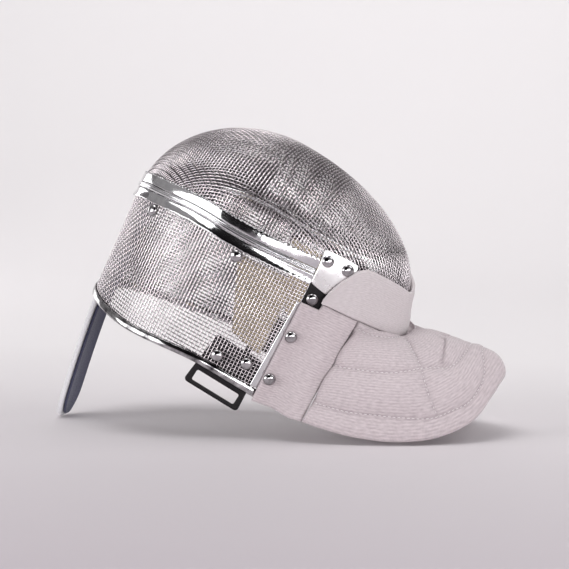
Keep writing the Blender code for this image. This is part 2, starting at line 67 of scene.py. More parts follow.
def paired(angle, other):
    """Two values or lists of values as arrays of one shape."""
    return np.broadcast_arrays(np.asarray(angle, float), np.asarray(other, float))


def unit(vectors):
    """Vectors at length one."""
    return vectors / np.maximum(np.linalg.norm(vectors, axis=-1, keepdims=True), 1e-12)


def run_along(line):
    """Distance run at each point of a line."""
    return np.concatenate(([0], np.cumsum(np.linalg.norm(np.diff(line, axis=0), axis=1))))


def at_marks(marks, run, values):
    """Values of a line's points at given distances along it."""
    return np.stack([np.interp(marks, run, values[:, k]) for k in range(3)], -1)


def over_and_under(rows, columns):
    """Plus and minus one in a chequer: which of two crossing wires lies on top."""
    return np.where((np.add.outer(np.arange(rows), np.arange(columns)) % 2) == 0, 1.0, -1.0)


def read_curve(table, x, column=1):
    """Smooth value of one column of a table at x."""
    rows = np.array(sorted(table))
    xs = rows[:, 0]
    ys = rows[:, column]
    steps = np.diff(xs)
    rises = np.diff(ys) / steps
    slopes = np.zeros(len(xs))
    slopes[1:-1] = (rises[1:] * steps[:-1] + rises[:-1] * steps[1:]) / (xs[2:] - xs[:-2])
    x = np.clip(np.asarray(x, float), xs[0], xs[-1])
    i = np.clip(np.searchsorted(xs, x, side="right") - 1, 0, len(xs) - 2)
    t = (x - xs[i]) / steps[i]
    low = (2 * t**3 - 3 * t**2 + 1) * ys[i] + (t**3 - 2 * t**2 + t) * steps[i] * slopes[i]
    return low + (3 * t**2 - 2 * t**3) * ys[i + 1] + (t**3 - t**2) * steps[i] * slopes[i + 1]


def band_level(angle):
    """Level of the line where face and crown meet."""
    return -BAND_DROP * read_curve(BAND_TABLE, np.abs((angle + 180) % 360 - 180))


def outline(angle, share):
    """Outline of the mask, from the bead (share 0) to the rim (share 1)."""
    cosine = np.cos(np.radians(angle))
    reach = np.where(cosine > 0, DOME_TO_CHIN, DOME_TO_CROWN - RIM_TUCK * share)
    half = DOME_HALF_WIDTH + RIM_FLARE * share
    return PLAN_CENTRE + reach * cosine, half * np.sin(np.radians(angle))


def rim_level(angle):
    """Level of the crown's lower edge."""
    forward = outline(angle, 1.0)[0]
    share = (forward - PLAN_CENTRE + DOME_TO_CROWN) / (DOME_TO_CROWN + DOME_TO_CHIN)
    return -CROWN_DEPTH * read_curve(RIM_TABLE, share)


def wall_point(angle, height):
    """Middle of the wire cloth, at a height over the bead line."""
    angle, height = paired(angle, height)
    band = band_level(angle)
    sine = np.clip(height / (DOME_TOP - band), 0, 1)
    shrink = np.sqrt(1 - sine * sine)
    p0, y0 = outline(angle, 0.0)
    p1, y1 = outline(angle, height / (rim_level(angle) - band))
    above = height >= 0
    p = np.where(above, PLAN_CENTRE + (p0 - PLAN_CENTRE) * shrink, p1)
    y = np.where(above, y0 * shrink, y1)
    return np.stack((p, y, band + height), -1)


def wall_normal(angle, height):
    """Outward direction of the wire cloth."""
    step = 0.0008
    low = np.minimum(height, DOME_TOP - band_level(angle) - 2 * step)
    along = wall_point(angle + 0.4, height) - wall_point(angle - 0.4, height)
    rise = wall_point(angle, low + step) - wall_point(angle, low - step)
    normal = np.cross(along, rise)
    size = np.linalg.norm(normal, axis=-1, keepdims=True)
    return np.where(size > 1e-12, normal / np.maximum(size, 1e-12), (0.0, 0.0, 1.0))


def off_wall(angle, height, offset):
    """Place beside the wire cloth, moved outward by offset."""
    angle, height = paired(angle, height)
    shift = np.broadcast_to(np.asarray(offset, float), angle.shape)[..., None]
    return wall_point(angle, height) + wall_normal(angle, height) * shift


def lay_down(points):
    """Turn the mask's own axes into the lying pose."""
    p, y, q = points[..., 0], points[..., 1], points[..., 2]
    x = p * math.cos(TILT) + q * math.sin(TILT)
    z = -p * math.sin(TILT) + q * math.cos(TILT)
    return np.stack((x, y, z), -1) + LYING_SHIFT


def onto_dome(points):
    """Points pushed onto the dome or the wall below it, and their outward directions."""
    forward = points[..., 0] - PLAN_CENTRE
    reach = np.where(forward > 0, DOME_TO_CHIN, DOME_TO_CROWN)
    u = forward / reach
    v = points[..., 1] / DOME_HALF_WIDTH
    band = band_level(np.degrees(np.arctan2(v, u)))
    tall = DOME_TOP - band
    w = (points[..., 2] - band) / tall
    up = np.maximum(w, 0)
    size = np.sqrt(u * u + v * v + up * up)
    level = band + np.where(w > 0, w / size, w) * tall
    placed = np.stack((PLAN_CENTRE + u / size * reach, v / size * DOME_HALF_WIDTH, level), -1)
    normal = np.stack((u / reach, v / DOME_HALF_WIDTH, up / tall), -1)
    return placed, unit(normal)


def dome_line(angle, count):
    """Points one pitch apart down the dome from its top."""
    turn = np.radians(np.linspace(90, 0, 200))
    dome = wall_point(np.full(200, float(angle)), (DOME_TOP - band_level(angle)) * np.sin(turn))
    wall = wall_point(np.full(40, float(angle)), np.linspace(-0.002, -0.08, 40))
    line = np.concatenate((dome, wall))
    return at_marks(np.arange(count) * WIRE_PITCH, run_along(line), line)


def drape_quarter(toward, count_along, count_across):
    """Crossings of the wire cloth over one quarter of the dome, left side."""
    net = np.zeros((count_along, count_across, 3))
    net[:, 0] = dome_line(toward, count_along)
    net[0, :] = dome_line(90.0, count_across)
    for ring in range(2, count_along + count_across - 1):
        i = np.arange(max(1, ring - count_across + 1), min(count_along - 1, ring - 1) + 1)
        j = ring - i
        near_a, near_b, corner = net[i - 1, j], net[i, j - 1], net[i - 1, j - 1]
        guess = near_a + near_b - corner
        for _ in range(14):
            for near in (near_a, near_b):
                away = guess - near
                length = np.linalg.norm(away, axis=-1, keepdims=True)
                guess = near + away * (0.5 + 0.5 * WIRE_PITCH / np.maximum(length, 1e-9))
            guess, _normal = onto_dome(guess)
        net[i, j] = guess
    return net


def lay_wires(name, lines, radius):
    """Round wires through lists of points, as one mesh."""
    shape = bpy.data.curves.new(name, "CURVE")
    shape.dimensions = "3D"
    shape.bevel_depth = radius
    shape.bevel_resolution = 1
    shape.use_fill_caps = True
    for line in lines:
        wire = shape.splines.new("POLY")
        wire.points.add(len(line) - 1)
        wire.points.foreach_set("co", np.c_[lay_down(line), np.ones(len(line))].ravel())
        wire.use_smooth = True
    drawn = bpy.data.objects.new(name + "_line", shape)
    bpy.context.collection.objects.link(drawn)
    bpy.context.view_layer.update()
    solid = bpy.data.meshes.new_from_object(drawn.evaluated_get(bpy.context.evaluated_depsgraph_get()))
    bpy.data.objects.remove(drawn)
    bpy.data.curves.remove(shape)
    solid.name = name
    spots = np.zeros(3 * len(solid.vertices))
    facing = np.zeros(3 * len(solid.vertices))
    solid.vertices.foreach_get("co", spots)
    solid.vertices.foreach_get("normal", facing)
    outward = unit(spots.reshape(-1, 3) - lay_down(np.array((PLAN_CENTRE, 0.0, HEAD_LEVEL))))
    # outer: how far each point of a wire faces away from the head; the wire material uses it to paint shade
    # on the inward side.
    shown = solid.attributes.new("outer", "FLOAT", "POINT")
    shown.data.foreach_set("value", (outward * facing.reshape(-1, 3)).sum(axis=1))
    piece = bpy.data.objects.new(name, solid)
    bpy.context.collection.objects.link(piece)
    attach(piece, "root")
    return piece


def cut_line(points, heights, waves, normals, floor_height):
    """Runs of a wire that lie above a height, with its wave along the normals."""
    waved = points + normals * waves[:, None]
    runs = []
    run = []
    for k in range(len(points)):
        if heights[k] >= floor_height:
            if not run and k > 0:
                share = (floor_height - heights[k - 1]) / (heights[k] - heights[k - 1])
                run.append(waved[k - 1] + (waved[k] - waved[k - 1]) * share)
            run.append(waved[k])
        elif run:
            share = (heights[k - 1] - floor_height) / (heights[k - 1] - heights[k])
            run.append(waved[k - 1] + (waved[k] - waved[k - 1]) * share)
            runs.append(run)
            run = []
    if run:
        runs.append(run)
    return [np.array(run) for run in runs if len(run) > 2]


quarters = {}
for end, toward, count in (("chin", 0.0, 68), ("crown", 180.0, 58)):
    quarters[end] = drape_quarter(toward, count, 54)
half_net = np.concatenate((quarters["crown"][:0:-1], quarters["chin"]))
mirrored = half_net[:, :0:-1] * (1, -1, 1)
net = np.concatenate((mirrored, half_net), axis=1)
net, net_normals = onto_dome(net)
net_angles = np.degrees(np.arctan2(net[..., 1] / DOME_HALF_WIDTH, np.where(
    net[..., 0] > PLAN_CENTRE, (net[..., 0] - PLAN_CENTRE) / DOME_TO_CHIN,
    (net[..., 0] - PLAN_CENTRE) / DOME_TO_CROWN)))
net_heights = net[..., 2] - band_level(net_angles)
over = over_and_under(*net.shape[:2])
cut_height = BEAD_HEIGHT / 2 + GAP
long_wires = []
for j in range(net.shape[1]):
    long_wires += cut_line(net[:, j], net_heights[:, j], over[:, j] * WIRE_WAVE, net_normals[:, j],
                           cut_height)
cross_wires = []
for i in range(net.shape[0]):
    cross_wires += cut_line(net[i], net_heights[i], -over[i] * WIRE_WAVE, net_normals[i], cut_height)
face_long = lay_wires("face_wires_long", long_wires, WIRE_RADIUS)
face_cross = lay_wires("face_wires_cross", cross_wires, WIRE_RADIUS)


def start_material(name, **uniform):
    """New material with numbers set on its shader, with its node tree and its shader."""
    made = bpy.data.materials.new(name)
    made.use_nodes = True
    shader = made.node_tree.nodes["Principled BSDF"]
    for socket, value in uniform.items():
        shader.inputs[socket.replace("_", " ")].default_value = value
    return made, made.node_tree, shader


def add_noise(tree, scale, detail):
    """Noise over the piece's own place in space."""
    place = tree.nodes.new("ShaderNodeTexCoord")
    noise = tree.nodes.new("ShaderNodeTexNoise")
    noise.inputs["Scale"].default_value = scale
    noise.inputs["Detail"].default_value = detail
    tree.links.new(place.outputs["Object"], noise.inputs["Vector"])
    return noise


def add_ramp(tree, source, low, first, high, second):
    """Colour that runs from the first, at the value low, to the second, at the value high."""
    tone = tree.nodes.new("ShaderNodeValToRGB")
    for element, position, color in zip(tone.color_ramp.elements, (low, high), (first, second)):
        element.position = position
        element.color = (*color, 1)
    tree.links.new(source, tone.inputs["Fac"])
    return tone.outputs["Color"]


def add_range(tree, source, ends, target=None, side="To"):
    """Value spread over, or read from, a range."""
    spread = tree.nodes.new("ShaderNodeMapRange")
    spread.inputs[side + " Min"].default_value = ends[0]
    spread.inputs[side + " Max"].default_value = ends[1]
    tree.links.new(source, spread.inputs["Value"])
    if target:
        tree.links.new(spread.outputs["Result"], target)
    return spread.outputs["Result"]


def wire_steel():
    """Bright drawn steel wire, dulled in patches, with painted shade that turns the side of each wire facing
    the head near black.
    """
    made, tree, shader = start_material("drawn steel wire", Metallic=1.0)
    patches = add_noise(tree, 60.0, 4.0).outputs["Fac"]
    tone = add_ramp(tree, patches, 0.3, (0.62, 0.575, 0.595), 0.7, (0.93, 0.865, 0.89))
    # Painted shade: the side of each wire facing the head is mixed towards near black, standing for the
    # shaded inside of the mask.
    side = tree.nodes.new("ShaderNodeAttribute")
    side.attribute_name = "outer"
    both = tree.nodes.new("ShaderNodeMixRGB")
    both.inputs["Color1"].default_value = (0.022, 0.016, 0.020, 1)
    add_range(tree, side.outputs["Fac"], (0.0, 0.75), both.inputs["Fac"], "From")
    tree.links.new(tone, both.inputs["Color2"])
    tree.links.new(both.outputs["Color"], shader.inputs["Base Color"])
    add_range(tree, patches, (0.14, 0.26), shader.inputs["Roughness"])
    return made


WIRE = wire_steel()
for piece in (face_long, face_cross):
    piece.data.materials.append(WIRE)
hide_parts("face_mesh")
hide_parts("face_mesh")

# Crown: a wall of the same wire cloth, left flat and bent round the head, with one set of
# wires upright and one level. Its upper edge is held in the bead and its lower in the rim.
CHANNEL_WALL = 0.0011
row_angles = np.linspace(FRONT_ANGLE, 360 - FRONT_ANGLE, 1400)
row_line = wall_point(row_angles, np.full(1400, -0.05))
row_run = run_along(row_line)
posts = np.arange(WIRE_PITCH / 2, row_run[-1], WIRE_PITCH)
post_angles = np.interp(posts, row_run, row_angles)
levels = np.arange(0.0, -CROWN_DEPTH * 1.1, -WIRE_PITCH)
angle_grid, level_grid = np.meshgrid(post_angles, levels, indexing="ij")
height_grid = level_grid - band_level(angle_grid)
low_grid = rim_level(angle_grid) - band_level(angle_grid) + CHANNEL_WALL + GAP
sign_grid = over_and_under(len(post_angles), len(levels))
spots = wall_point(angle_grid, height_grid)
ways = wall_normal(angle_grid, height_grid)
inside = np.minimum(-cut_height - height_grid, height_grid - low_grid)
upright = []
for i in range(len(post_angles)):
    upright += cut_line(spots[i], inside[i], sign_grid[i] * WIRE_WAVE, ways[i], 0.0)
level_wires = []
for k in range(len(levels)):
    level_wires += cut_line(spots[:, k], inside[:, k], -sign_grid[:, k] * WIRE_WAVE, ways[:, k], 0.0)
crown_upright = lay_wires("crown_wires_upright", upright, WIRE_RADIUS)
crown_level = lay_wires("crown_wires_level", level_wires, WIRE_RADIUS)
for piece in (crown_upright, crown_level):
    piece.data.materials.append(WIRE)
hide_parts("crown_mesh")
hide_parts("crown_mesh")

# Bead and strips: the edges of face and crown are rolled together in a steel bead,
# with a flat strip of the same bright sheet pressed over the wire above and below it.
FLANGE_WIDTH = 0.0085
STEEL = 0.001
BEAD_END = 57.5
STRIP_LENGTH = 0.46
PRESS_STEP = 1.77
PRESS_DEPTH = 0.0006


def grid_of(mesh, columns, rows):
    """New grid in a mesh, with each corner's share along and across."""
    made = bmesh.ops.create_grid(mesh, x_segments=columns, y_segments=rows, size=0.5)["verts"]
    spots = np.array([corner.co for corner in made])
    return made, np.clip(spots[:, 0] + 0.5, 0, 1), np.clip(spots[:, 1] + 0.5, 0, 1)


def settle(corners, points):
    """Move corners to places given in the mask's own axes."""
    for corner, spot in zip(corners, lay_down(points)):
        corner.co = spot


def finish(name, mesh, material, replaced, flat_faces=False):
    """Turn a bmesh into a piece that stands for one or more solids."""
    bmesh.ops.remove_doubles(mesh, verts=mesh.verts, dist=2e-6)
    bmesh.ops.recalc_face_normals(mesh, faces=mesh.faces)
    for face in mesh.faces:
        face.smooth = not flat_faces
    data = bpy.data.meshes.new(name)
    mesh.to_mesh(data)
    mesh.free()
    data.materials.append(material)
    piece = bpy.data.objects.new(name, data)
    bpy.context.collection.objects.link(piece)
    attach(piece, "root")
    for node in replaced:
        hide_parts(node)
    return piece


def long_section(mesh, columns, section, place):
    """Closed section swept along a line: section gives the loop, place the way."""
    loop = np.array(section)
    count = len(loop)
    corners, along, around = grid_of(mesh, columns, count)
    index = np.rint(around * count).astype(int) % count
    settle(corners, place(along, loop[index, 0], loop[index, 1]))
    bmesh.ops.remove_doubles(mesh, verts=mesh.verts, dist=2e-6)
    edges = [edge for edge in mesh.edges if edge.is_boundary]
    bmesh.ops.holes_fill(mesh, edges=edges, sides=0)


def bead_loop():
    """Section of the bead, as heights and offsets: two lobes with grooves between."""
    loop = []
    for k in range(40):
        turn = 2 * math.pi * k / 40
        height = BEAD_HEIGHT / 2 * math.sin(turn)
        offset = BEAD_DEPTH / 2 * (0.55 + math.cos(turn))
        if math.cos(turn) > 0:
            offset -= BEAD_DEPTH * 0.26 * math.exp(-(height / (BEAD_HEIGHT * 0.075)) ** 2)
        loop.append((height, offset))
    return loop


def along_bead(share, height, offset):
    """Place beside the bead line, from the left end round the crown to the right."""
    angle = BEAD_END + (360 - 2 * BEAD_END) * share
    return off_wall(angle, height, offset)


def add_bump(tree, source, strength, distance):
    """Low relief from a value."""
    bump = tree.nodes.new("ShaderNodeBump")
    bump.inputs["Strength"].default_value = strength
    bump.inputs["Distance"].default_value = distance
    tree.links.new(source, bump.inputs["Height"])
    tree.links.new(bump.outputs["Normal"], tree.nodes["Principled BSDF"].inputs["Normal"])


def polished_steel(name, light, dark, rough):
    """Bright pressed steel with faint rolling marks and small scuffs; where the dark tone is set near black,
    as on the rim, the noise paints dark flecks that stand for reflections.
    """
    made, tree, shader = start_material(name, Metallic=1.0)
    noise = add_noise(tree, 90.0, 6.0)
    noise.inputs["Roughness"].default_value = 0.62
    marks = noise.outputs["Fac"]
    tree.links.new(add_ramp(tree, marks, 0.32, dark, 0.62, light), shader.inputs["Base Color"])
    add_range(tree, marks, (rough * 0.6, rough * 1.5), shader.inputs["Roughness"])
    add_bump(tree, add_noise(tree, 45.0, 2.0).outputs["Fac"], 0.5, 0.0008)
    return made


BRIGHT = polished_steel("polished steel", (0.86, 0.86, 0.87), (0.70, 0.70, 0.72), 0.09)
bead = bmesh.new()
long_section(bead, 300, bead_loop(), along_bead)
finish("bead", bead, BRIGHT, ("seam_ridge",))


def edge_round(distance, radius):
    """Share of the full thickness at a distance from the edge."""
    return np.sqrt(np.clip(1 - (1 - np.clip(distance / radius, 0, 1)) ** 2, 0, 1))


def crowded(share):
    """Shares drawn towards both ends, so that the rounded edges get enough faces."""
    return 0.5 - 0.5 * np.cos(math.pi * share)


def edge_distance(along, across, length, width):
    """Distance to the nearest edge of a sheet."""
    return np.minimum(np.minimum(along, 1 - along) * length, np.minimum(across, 1 - across) * width)


def beside_wall(angle, height, offset):
    """Place beside the wire cloth and the direction outward there."""
    return off_wall(angle, height, offset), wall_normal(angle, height)


def plate_shell(name, columns, rows, place, thickness, length, width, material, replaced):
    """Thin sheet with rounded edges; place gives a point and its outward direction."""
    mesh = bmesh.new()
    for side in (1.0, -1.0):
        corners, along, across = grid_of(mesh, columns, rows)
        along = crowded(along)
        across = crowded(across)
        rim = edge_distance(along, across, length, width)
        full = edge_round(rim, thickness / 2)
        point, normal = place(along, across)
        settle(corners, point + normal * (thickness / 2 * (1 + side * full))[:, None])
    return finish(name, mesh, material, replaced)


def strip_place(sign):
    """Face strip for sign 1, crown strip for sign -1."""
    def place(along, across):
        angle = BEAD_END + (360 - 2 * BEAD_END) * along
        scallop = 0.00035 * np.sin(angle * 2.9) * across + 0.00025 * np.sin(angle * 6.7 + 1.0) * across
        pressed = PRESS_DEPTH * np.sin(angle * 2 * math.pi / PRESS_STEP) * across**3 if sign > 0 else 0
        height = sign * (BEAD_HEIGHT / 2 + GAP + (FLANGE_WIDTH + scallop) * across + pressed)
        offset = MESH_WALL / 2 + GAP + (0.0013 * across**2 if sign < 0 else 0.0002 * across**2)
        return beside_wall(angle, height, offset)
    return place


plate_shell("strip_face", 1000, 8, strip_place(1), STEEL, STRIP_LENGTH, FLANGE_WIDTH, BRIGHT,
            ("face_flange",))
plate_shell("strip_crown", 300, 10, strip_place(-1), STEEL, STRIP_LENGTH, FLANGE_WIDTH, BRIGHT,
            ("crown_flange",))

# Rim: a folded steel channel that takes the lower edge of the crown's wire cloth.
CHANNEL_HEIGHT = 0.0068
CHANNEL_SLOT = MESH_WALL / 2 + GAP
CHANNEL_SIDE = CHANNEL_SLOT + CHANNEL_WALL


def channel_loop():
    """Section of the rim: a U with a rounded foot, as heights and offsets."""
    loop = []
    for k in range(13):
        turn = math.pi * k / 12
        foot = CHANNEL_SIDE * 0.8
        loop.append((foot - foot * math.sin(turn), CHANNEL_SIDE * math.cos(turn)))
    loop += [(CHANNEL_HEIGHT - 0.0003, -CHANNEL_SIDE), (CHANNEL_HEIGHT, -CHANNEL_SIDE + 0.0003)]
    loop += [(CHANNEL_HEIGHT, -CHANNEL_SLOT - 0.0002), (CHANNEL_HEIGHT - 0.0002, -CHANNEL_SLOT)]
    loop += [(CHANNEL_WALL, -CHANNEL_SLOT), (CHANNEL_WALL, CHANNEL_SLOT)]
    loop += [(CHANNEL_HEIGHT - 0.0002, CHANNEL_SLOT), (CHANNEL_HEIGHT, CHANNEL_SLOT + 0.0002)]
    loop += [(CHANNEL_HEIGHT, CHANNEL_SIDE - 0.0003), (CHANNEL_HEIGHT - 0.0003, CHANNEL_SIDE)]
    return loop


def along_rim(share, height, offset):
    """Place beside the rim line, from the left end round the crown to the right."""
    angle = FRONT_ANGLE + (360 - 2 * FRONT_ANGLE) * share
    return off_wall(angle, rim_level(angle) - band_level(angle) + height, offset)


# Painted reflection: the rim's near-black dark tone gives dark flecks that stand for dark surroundings
# mirrored in the channel.
RIM_STEEL = polished_steel("rim steel", (0.66, 0.65, 0.66), (0.04, 0.036, 0.04), 0.10)
rim = bmesh.new()
long_section(rim, 320, channel_loop(), along_rim)
finish("rim", rim, RIM_STEEL, ("rim_channel",))

# Side plates, tabs and edge strips: the front ends of the bead are held by a bright
# plate riveted over a black tab, and a thin strip closes the front edge of the crown.
PLATE_DEPTH = 0.0012
PLATE_RISE = 0.020
PLATE_TABLE = (
    (57.4, -0.50, 1.0),
    (54.0, -0.625, 1.0),
    (50.6, -0.725, 0.99),
    (46.5, -0.10, 0.965),
    (42.4, 0.625, 0.925),
)
PLATE_LENGTH = 0.026
TAB_DROP = 0.0055
TAB_LENGTH = 0.025
TAB_WIDTH = 0.012
TAB_ENDS = (57.2, 49.8)
UNDER_PLATE = MESH_WALL / 2 + GAP
PLATE_IN = UNDER_PLATE + PLATE_DEPTH + GAP
CORNER = 0.0016


def corner_cut(along, length, radius):
    """How far a rounded corner pulls in the edges near the two ends."""
    near = np.minimum(along, 1 - along) * length
    return radius - np.sqrt(np.maximum(0, radius**2 - np.maximum(0, radius - near) ** 2))


def side_plate_place(sign):
    """Plate over the end of the bead."""
    angles, lows, highs = np.array(PLATE_TABLE).T

    def place(along, across):
        angle = angles[0] + (angles[-1] - angles[0]) * along
        low = np.interp(-angle, -angles, lows) * PLATE_RISE
        high = np.interp(-angle, -angles, highs) * PLATE_RISE
        cut = corner_cut(along, PLATE_LENGTH, CORNER)
        height = low + cut + (high - low - 2 * cut) * across
        return beside_wall(sign * angle, height, PLATE_IN)
    return place


def side_tab_place(sign):
    """Tab behind the plate's lower end."""
    def place(along, across):
        angle = TAB_ENDS[0] + (TAB_ENDS[1] - TAB_ENDS[0]) * along
        cut = corner_cut(along, TAB_WIDTH, CORNER)
        height = -TAB_DROP - cut - (TAB_LENGTH - 2 * cut) * across
        return beside_wall(sign * angle, height, UNDER_PLATE)
    return place


def edge_strip_place(sign):
    """Strip down the crown's front edge."""
    ends = [rim_level(a) - band_level(a) for a in (FRONT_ANGLE, 60)]
    last = max(ends) + CHANNEL_HEIGHT + 4 * GAP
    start = -TAB_DROP - TAB_LENGTH - GAP

    def place(along, across):
        height = start + (last - start) * across
        rear = 58.6 + 1.6 * across
        angle = rear + (53.2 - rear) * along
        return beside_wall(sign * angle, height, UNDER_PLATE)
    return place


def grained(name, scale, detail, low, dark, high, light, relief, **uniform):
    """Even surface with a fine grain in its colour and its height."""
    made, tree, shader = start_material(name, **uniform)
    grain = add_noise(tree, scale, detail).outputs["Fac"]
    tree.links.new(add_ramp(tree, grain, low, dark, high, light), shader.inputs["Base Color"])
    add_bump(tree, grain, *relief)
    return made


BLACK = grained("black enamel", 700.0, 3.0, 0.35, (0.006, 0.005, 0.006), 0.75, (0.014, 0.012, 0.014),
                (0.25, 0.0002), Roughness=0.42, Specular_IOR_Level=0.25)
PLATE_STEEL = polished_steel("plate steel", (0.97, 0.965, 0.965), (0.90, 0.89, 0.89), 0.26)
for sign, side in ((1, "left"), (-1, "right")):
    plate_shell("plate_" + side, 40, 30, side_plate_place(sign), PLATE_DEPTH, PLATE_LENGTH, 0.024,
                PLATE_STEEL, ("side_plate_" + side,))
    plate_shell("tab_" + side, 24, 36, side_tab_place(sign), PLATE_DEPTH, TAB_WIDTH, TAB_LENGTH, BLACK,
                ("side_tab_" + side,))
    plate_shell("front_strip_" + side, 14, 60, edge_strip_place(sign), STEEL, 0.009, 0.095, BRIGHT,
                ("edge_strip_" + side,))

# Rivets: domed steel heads on the wire cloth, the plates, the tabs and the side panels
# of the bib, each clenched through to the inside.
RIVET_RADIUS = 0.0055
RIVET_HEIGHT = 0.0040
LOOP_RISE = 0.030
MESH_TOP = MESH_WALL / 2 + 1.5 * GAP
TAB_TOP = MESH_WALL / 2 + GAP + PLATE_DEPTH + 1.5 * GAP
PLATE_TOP = TAB_TOP - GAP + PLATE_DEPTH + 0.5 * GAP
UNDER_STRIP = -BEAD_HEIGHT / 2 - FLANGE_WIDTH - 2 * GAP - RIVET_RADIUS
LOOP_RIM = float(rim_level(70.0) - band_level(70.0))
RIVET_TABLE = (
    ("crown", 131.7, UNDER_STRIP, MESH_TOP),
    ("side", 84.0, UNDER_STRIP, MESH_TOP),
    ("plate_rear", 55.0, PLATE_RISE * 0.60, PLATE_TOP),
    ("plate_front", 46.6, PLATE_RISE * 0.59, PLATE_TOP),
    ("tab", 54.2, -TAB_DROP - TAB_LENGTH * 0.70, TAB_TOP),
    ("loop_rear", 74.8, LOOP_RIM + LOOP_RISE * 0.56, MESH_TOP),
    ("loop_front", 64.6, LOOP_RIM + LOOP_RISE * 0.70, MESH_TOP),
)
RIVET_STEEL = polished_steel("rivet steel", (0.56, 0.545, 0.555), (0.24, 0.23, 0.24), 0.07)


def rivet_head(name, centre, normal):
    """Domed head turned round the rivet's own line."""
    mesh = bmesh.new()
    last = None
    profile = []
    for k in range(11):
        turn = math.pi / 2 * k / 10
        reach = RIVET_RADIUS * math.cos(turn) ** 0.9 if k < 10 else 0.0
        corner = mesh.verts.new((reach, 0, RIVET_HEIGHT * (0.14 + 0.86 * math.sin(turn))))
        profile.append(corner)
    foot = mesh.verts.new((RIVET_RADIUS * 0.985, 0, 0))
    profile.insert(0, foot)
    for near, far in zip(profile, profile[1:]):
        mesh.edges.new((near, far))
    bmesh.ops.spin(mesh, geom=list(mesh.verts) + list(mesh.edges), cent=(0, 0, 0), axis=(0, 0, 1),
                   angle=2 * math.pi, steps=32, use_merge=True)
    bmesh.ops.remove_doubles(mesh, verts=mesh.verts, dist=2e-6)
    bmesh.ops.holes_fill(mesh, edges=[edge for edge in mesh.edges if edge.is_boundary], sides=0)
    along = np.cross(normal, (0, 0, 1))
    along /= np.linalg.norm(along)
    rise = np.cross(along, normal)
    spots = np.array([corner.co for corner in mesh.verts])
    settle(mesh.verts, centre + spots[:, :1] * along + spots[:, 1:2] * rise + spots[:, 2:] * normal)
    return finish("head_" + name, mesh, RIVET_STEEL, ("rivet_" + name,))


for sign, side in ((1, "left"), (-1, "right")):
    for name, angle, height, under in RIVET_TABLE:
        rivet_head(name + "_" + side, *beside_wall(np.array(sign * angle), np.array(height), under))

# Bib: quilted cloth that covers the chin and throat, of a stiff collar round the chin,
# a side panel riveted down the front of each side, and a stitched flap between them.
COLLAR_DROP = 0.0225
COLLAR_RISE = 0.0198
COLLAR_FLARE = 0.0085
BIB_SWELL = 0.016
BIB_CLOTH = 0.0034
CREASE_ANGLE = 35.0
HEM_TABLE = (
    (58.0, 0.513, 0.910, 1.056),
    (46.0, 0.740, 0.965, 1.035),
    (35.0, 0.880, 0.965, 1.003),
    (29.0, 1.000, 0.968, 0.973),
    (23.0, 1.210, 0.945, 0.905),
    (17.5, 1.427, 0.880, 0.795),
    (12.5, 1.606, 0.745, 0.645),
    (8.0, 1.712, 0.540, 0.465),
    (4.0, 1.720, 0.284, 0.285),
    (0.0, 1.712, 0.000, 0.190),
)
RIDGE_TABLE = (
    (0.00, 0.00),
    (0.24, 0.34),
    (0.51, 0.54),
    (0.78, 0.78),
    (0.89, 0.62),
    (0.95, 0.34),
    (1.00, -0.02),
)


def ease(t):
    """Ease from 0 to 1."""
    t = np.clip(t, 0.0, 1.0)
    return t * t * (3 - 2 * t)


def bib_clearance(angle):
    """Room under the bib: over the side plates, close at the chin."""
    close = MESH_WALL / 2 + GAP
    over = close + 2 * (PLATE_DEPTH + GAP)
    return close + (over - close) * ease((np.abs(angle) - 30) / 8)


def neck_line(angle):
    """Line where the collar ends and the lower bib starts."""
    flare = COLLAR_FLARE * np.cos(np.radians(np.minimum(90, np.abs(angle) * 1.5)))
    return off_wall(angle, -COLLAR_DROP, bib_clearance(angle) + flare)


def hem_line(angle):
    """Free edge of the bib; on the left of its tip the cloth is tucked in a little."""
    far = tuple((-a, p, -y, q) for a, p, y, q in HEM_TABLE[:-1])
    table = HEM_TABLE + far
    tuck = np.exp(-(((angle - 8.0) / 5.5) ** 2))
    return np.stack((PLAN_CENTRE + DOME_TO_CHIN * (read_curve(table, angle, 1) - 0.046 * tuck),
                     DOME_HALF_WIDTH * (read_curve(table, angle, 2) - 0.10 * tuck),
                     -CROWN_DEPTH * read_curve(table, angle, 3)), -1)


def bib_place(angle, share):
    """Inner face of the lower bib; share runs from the collar to the hem."""
    angle, share = paired(angle, share)
    top = neck_line(angle)
    low = hem_line(angle)
    point = top + (low - top) * share[..., None]
    size = np.abs(angle)
    side = np.sign(angle)
    swell = 4 * share * (1 - share)
    height = -COLLAR_DROP + (low[..., 2] - band_level(angle) + COLLAR_DROP) * share
    wall = off_wall(angle, height, bib_clearance(angle))
    rear = ease((size - 40) / 14)[..., None]
    mid = np.sin(np.pi * np.clip((size - CREASE_ANGLE) / (58 - CREASE_ANGLE), 0, 1))
    puff = BIB_SWELL / 4 * mid * swell
    panel = point + np.stack((0.2 * puff, side * puff, 0 * puff), -1)
    panel = panel + (wall - panel) * rear
    ridge = 1 - ease(size / 16)
    flank = np.sin(np.pi * np.minimum(1.0, size / CREASE_ANGLE))
    crest = BIB_SWELL * ridge * read_curve(RIDGE_TABLE, share)
    bulge = BIB_SWELL * flank * swell
    flap = point + np.stack((bulge / 4, side * 0.87 * bulge, bulge + crest), -1)
    return np.where((size >= CREASE_ANGLE)[..., None], panel, flap)


